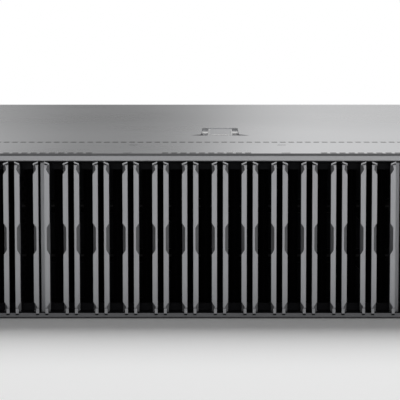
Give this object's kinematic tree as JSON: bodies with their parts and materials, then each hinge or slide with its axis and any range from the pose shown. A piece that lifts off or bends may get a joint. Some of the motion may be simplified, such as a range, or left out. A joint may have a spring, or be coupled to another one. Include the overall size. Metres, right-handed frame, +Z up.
{
  "type": "rack server",
  "caption": "Flat rack-mounted server with a finned front bezel, hot-plug drives and supplies, and a latched lift-off top cover.",
  "frame": {"origin": "middle of the footprint, on the surface the server stands on", "axes": "+Z up, front bezel faces -Y, +X to the right seen from the front"},
  "size_m": [0.4826, 0.7864, 0.0868],
  "materials": {
    "air_shroud": "matt black plastic",
    "bezel_end_left": "satin dark grey paint",
    "bezel_end_right": "satin dark grey paint",
    "bezel_fins": "grey paint on the front faces, black behind",
    "bezel_frame": "satin grey paint",
    "bezel_grille": "matt black plastic",
    "bezel_lock": "bright plated steel",
    "bezel_release": "gloss plastic",
    "chassis_tray": "zinc-plated sheet steel",
    "control_panel": "matt black plastic",
    "cover_latch": "light grey painted lever",
    "drive_backplane": "solder-masked circuit board",
    "drive_cage": "zinc-plated sheet steel",
    "drive_carrier_01": "matt dark plastic",
    "drive_carrier_02": "matt dark plastic",
    "drive_carrier_03": "matt dark plastic",
    "drive_carrier_04": "matt dark plastic",
    "drive_carrier_05": "matt dark plastic",
    "drive_carrier_06": "matt dark plastic",
    "drive_carrier_07": "matt dark plastic",
    "drive_carrier_08": "matt dark plastic",
    "drive_carrier_09": "matt dark plastic",
    "drive_carrier_10": "matt dark plastic",
    "drive_carrier_11": "matt dark plastic",
    "drive_carrier_12": "matt dark plastic",
    "drive_levers": "dark grey plastic",
    "ear_left": "zinc-plated sheet steel",
    "ear_right": "zinc-plated sheet steel",
    "fan_cage": "zinc-plated sheet steel",
    "fan_frames": "matt black plastic",
    "fan_rotor_1": "matt dark plastic",
    "fan_rotor_2": "matt dark plastic",
    "fan_rotor_3": "matt dark plastic",
    "fan_rotor_4": "matt dark plastic",
    "front_top_cover": "zinc-plated sheet steel",
    "hard_disks": "bare aluminium",
    "heatsink_left": "bare aluminium",
    "heatsink_right": "bare aluminium",
    "id_button": "gloss plastic",
    "io_ports": "plated shells",
    "latch_pin": "bright plated steel",
    "mainboard": "solder-masked circuit board",
    "memory_modules": "solder-masked circuit board",
    "power_board": "solder-masked circuit board",
    "power_button": "gloss plastic",
    "rail_studs": "bright plated steel",
    "rear_panel": "zinc-plated sheet steel",
    "rear_top_strip": "zinc-plated sheet steel",
    "riser_left": "solder-masked circuit board",
    "riser_right": "solder-masked circuit board",
    "screws": "bright plated steel",
    "slot_covers": "zinc-plated sheet steel",
    "supply_1": "zinc-plated sheet steel",
    "supply_2": "zinc-plated sheet steel",
    "supply_cage": "zinc-plated sheet steel",
    "supply_handle_1": "matt black plastic",
    "supply_handle_2": "matt black plastic",
    "supply_latch_1": "muted blue touch-point plastic",
    "supply_latch_2": "muted blue touch-point plastic",
    "top_cover": "zinc-plated sheet steel"
  },
  "bodies": {
    "chassis": {"air_shroud": "air_shroud", "chassis_tray": "chassis_tray", "control_panel": "control_panel", "drive_backplane": "drive_backplane", "drive_cage": "drive_cage", "drive_carrier_01": "drive_carrier_01", "drive_carrier_02": "drive_carrier_02", "drive_carrier_03": "drive_carrier_03", "drive_carrier_04": "drive_carrier_04", "drive_carrier_05": "drive_carrier_05", "drive_carrier_06": "drive_carrier_06", "drive_carrier_07": "drive_carrier_07", "drive_carrier_08": "drive_carrier_08", "drive_carrier_09": "drive_carrier_09", "drive_carrier_10": "drive_carrier_10", "drive_carrier_11": "drive_carrier_11", "drive_carrier_12": "drive_carrier_12", "drive_levers": "drive_levers", "ear_left": "ear_left", "ear_right": "ear_right", "fan_cage": "fan_cage", "fan_frames": "fan_frames", "front_top_cover": "front_top_cover", "hard_disks": "hard_disks", "heatsink_left": "heatsink_left", "heatsink_right": "heatsink_right", "io_ports": "io_ports", "mainboard": "mainboard", "memory_modules": "memory_modules", "power_board": "power_board", "rail_studs": "rail_studs", "rear_panel": "rear_panel", "rear_top_strip": "rear_top_strip", "riser_left": "riser_left", "riser_right": "riser_right", "screws": "screws", "slot_covers": "slot_covers", "supply_cage": "supply_cage"},
    "bezel": {"bezel_frame": "bezel_frame", "bezel_fins": "bezel_fins", "bezel_grille": "bezel_grille", "bezel_end_left": "bezel_end_left", "bezel_end_right": "bezel_end_right"},
    "bezel_release": {"bezel_release": "bezel_release"},
    "bezel_lock": {"bezel_lock": "bezel_lock"},
    "top_cover": {"top_cover": "top_cover", "latch_pin": "latch_pin"},
    "cover_latch": {"cover_latch": "cover_latch"},
    "power_button": {"power_button": "power_button"},
    "id_button": {"id_button": "id_button"},
    "supply_1": {"supply_1": "supply_1", "supply_handle_1": "supply_handle_1"},
    "supply_latch_1": {"supply_latch_1": "supply_latch_1"},
    "supply_2": {"supply_2": "supply_2", "supply_handle_2": "supply_handle_2"},
    "supply_latch_2": {"supply_latch_2": "supply_latch_2"},
    "fan_rotor_1": {"fan_rotor_1": "fan_rotor_1"},
    "fan_rotor_2": {"fan_rotor_2": "fan_rotor_2"},
    "fan_rotor_3": {"fan_rotor_3": "fan_rotor_3"},
    "fan_rotor_4": {"fan_rotor_4": "fan_rotor_4"}
  },
  "joints": [
    {"name": "bezel_pull", "type": "slide", "parent": "chassis", "child": "bezel", "axis": [0, -1, 0], "range_m": [0, 0.12]},
    {"name": "bezel_release_press", "type": "slide", "parent": "bezel", "child": "bezel_release", "axis": [0, 1, 0], "range_m": [0, 0.0025], "stiffness_N_per_m": 300, "springref_m": -0.002},
    {"name": "bezel_lock_turn", "type": "hinge", "parent": "bezel", "child": "bezel_lock", "pos_m": [-0.22915, -0.39075, 0.062], "axis": [0, -1, 0], "range_deg": [0, 90]},
    {"name": "cover_lift", "type": "slide", "parent": "chassis", "child": "top_cover", "axis": [0, 0, 1], "range_m": [0, 0.12]},
    {"name": "cover_latch_open", "type": "hinge", "parent": "top_cover", "child": "cover_latch", "pos_m": [0, -0.07975, 0.08322], "axis": [-1, 0, 0], "range_deg": [0, 80]},
    {"name": "power_button_press", "type": "slide", "parent": "chassis", "child": "power_button", "axis": [0, 1, 0], "range_m": [0, 0.001], "stiffness_N_per_m": 500, "springref_m": -0.001},
    {"name": "id_button_press", "type": "slide", "parent": "chassis", "child": "id_button", "axis": [0, 1, 0], "range_m": [0, 0.001], "stiffness_N_per_m": 500, "springref_m": -0.001},
    {"name": "supply_1_slide", "type": "slide", "parent": "chassis", "child": "supply_1", "axis": [0, 1, 0], "range_m": [0, 0.2]},
    {"name": "supply_1_latch_squeeze", "type": "slide", "parent": "supply_1", "child": "supply_latch_1", "axis": [-1, 0, 0], "range_m": [0, 0.003], "stiffness_N_per_m": 300, "springref_m": -0.002},
    {"name": "supply_2_slide", "type": "slide", "parent": "chassis", "child": "supply_2", "axis": [0, 1, 0], "range_m": [0, 0.2]},
    {"name": "supply_2_latch_squeeze", "type": "slide", "parent": "supply_2", "child": "supply_latch_2", "axis": [-1, 0, 0], "range_m": [0, 0.003], "stiffness_N_per_m": 300, "springref_m": -0.002},
    {"name": "fan_1_spin", "type": "hinge", "parent": "chassis", "child": "fan_rotor_1", "pos_m": [-0.16087, -0.04545, 0.0427], "axis": [0, 1, 0], "continuous": true},
    {"name": "fan_2_spin", "type": "hinge", "parent": "chassis", "child": "fan_rotor_2", "pos_m": [-0.05362, -0.04545, 0.0427], "axis": [0, 1, 0], "continuous": true},
    {"name": "fan_3_spin", "type": "hinge", "parent": "chassis", "child": "fan_rotor_3", "pos_m": [0.05362, -0.04545, 0.0427], "axis": [0, 1, 0], "continuous": true},
    {"name": "fan_4_spin", "type": "hinge", "parent": "chassis", "child": "fan_rotor_4", "pos_m": [0.16087, -0.04545, 0.0427], "axis": [0, 1, 0], "continuous": true}
  ]
}
